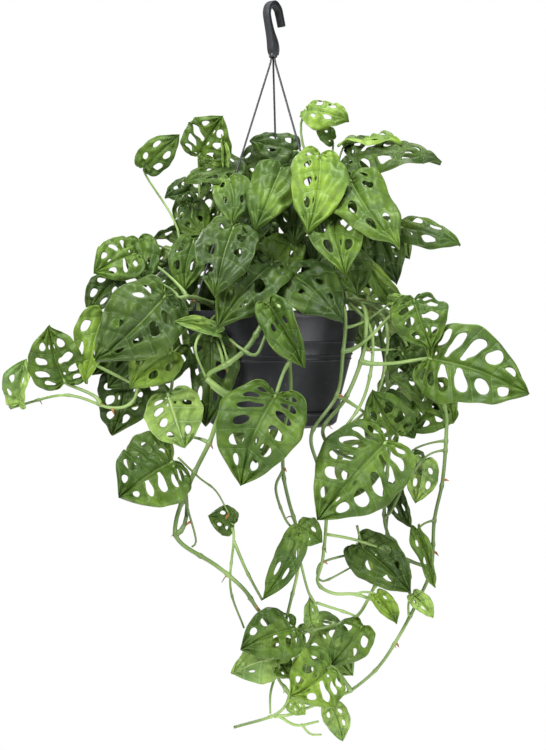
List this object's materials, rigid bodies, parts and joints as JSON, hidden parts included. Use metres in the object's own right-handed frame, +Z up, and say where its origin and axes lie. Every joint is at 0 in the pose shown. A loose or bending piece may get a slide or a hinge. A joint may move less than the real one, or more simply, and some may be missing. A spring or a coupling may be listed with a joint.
{
  "type": "monstera adansonii in a hanging pot",
  "caption": "Monstera adansonii, the Swiss cheese vine, climbing and trailing from a dark grey plastic hanging pot with a saucer, three rods and a hook",
  "frame": {"origin": "where the hook hangs, inside the top of its bend", "axes": "+Z is up, -Y is the front, +X is to the right as seen from the front"},
  "size_m": [0.7326, 0.4088, 1.0564],
  "materials": {
    "pot_plastic": "charcoal satin plastic",
    "saucer_plastic": "charcoal satin plastic",
    "hook_plastic": "dark grey moulded plastic",
    "rod_plastic": "dark grey moulded plastic",
    "potting_soil": "dark crumbly potting soil",
    "stem_skin": "smooth green stem",
    "leaf_green": "waxy mid green leaf",
    "leaf_dark": "waxy dark green leaf",
    "leaf_lime": "thin lime green young leaf",
    "leaf_pale": "pale leaf underside"
  },
  "bodies": {
    "root": {"pot": "pot_plastic", "saucer": "saucer_plastic", "soil": "potting_soil", "hanger_hook": "hook_plastic", "hanger_rod_1": "rod_plastic", "hanger_rod_2": "rod_plastic", "hanger_rod_3": "rod_plastic", "stem_up_left": "stem_skin", "stem_up_centre": "stem_skin", "stem_up_right": "stem_skin", "stem_left": "stem_skin", "stem_far_left": "stem_skin", "stem_front_left": "stem_skin", "stem_centre": "stem_skin", "stem_right_front": "stem_skin", "stem_right": "stem_skin", "stem_far_right": "stem_skin", "stem_centre_right": "stem_skin", "stem_back": "stem_skin", "leaf_top_left_1": "leaf_green", "leaf_top_left_2": "leaf_green", "leaf_top_left_3": "leaf_green", "leaf_top_left_4": "leaf_dark", "leaf_top_1": "leaf_green", "leaf_top_2": "leaf_dark", "leaf_top_3": "leaf_dark", "leaf_top_right_1": "leaf_lime", "leaf_top_right_2": "leaf_dark", "leaf_top_right_3": "leaf_lime", "leaf_top_right_4": "leaf_green", "leaf_top_right_5": "leaf_green", "leaf_top_right_6": "leaf_green", "leaf_top_right_7": "leaf_dark", "leaf_top_right_8": "leaf_dark", "leaf_right_1": "leaf_green", "leaf_right_2": "leaf_green", "leaf_right_3": "leaf_green", "leaf_right_4": "leaf_lime", "leaf_right_5": "leaf_green", "leaf_right_6": "leaf_dark", "leaf_front_1": "leaf_green", "leaf_front_2": "leaf_green", "leaf_front_3": "leaf_dark", "leaf_left_1": "leaf_green", "leaf_left_2": "leaf_green", "leaf_left_3": "leaf_dark", "leaf_left_4": "leaf_lime", "leaf_left_5": "leaf_dark", "leaf_left_6": "leaf_pale", "leaf_left_7": "leaf_green", "leaf_low_1": "leaf_green", "leaf_low_2": "leaf_dark", "leaf_low_3": "leaf_dark", "leaf_low_4": "leaf_pale", "leaf_low_5": "leaf_pale", "leaf_low_6": "leaf_lime", "leaf_low_7": "leaf_pale", "leaf_back_1": "leaf_green", "leaf_back_2": "leaf_green", "leaf_back_3": "leaf_dark"}
  },
  "joints": []
}
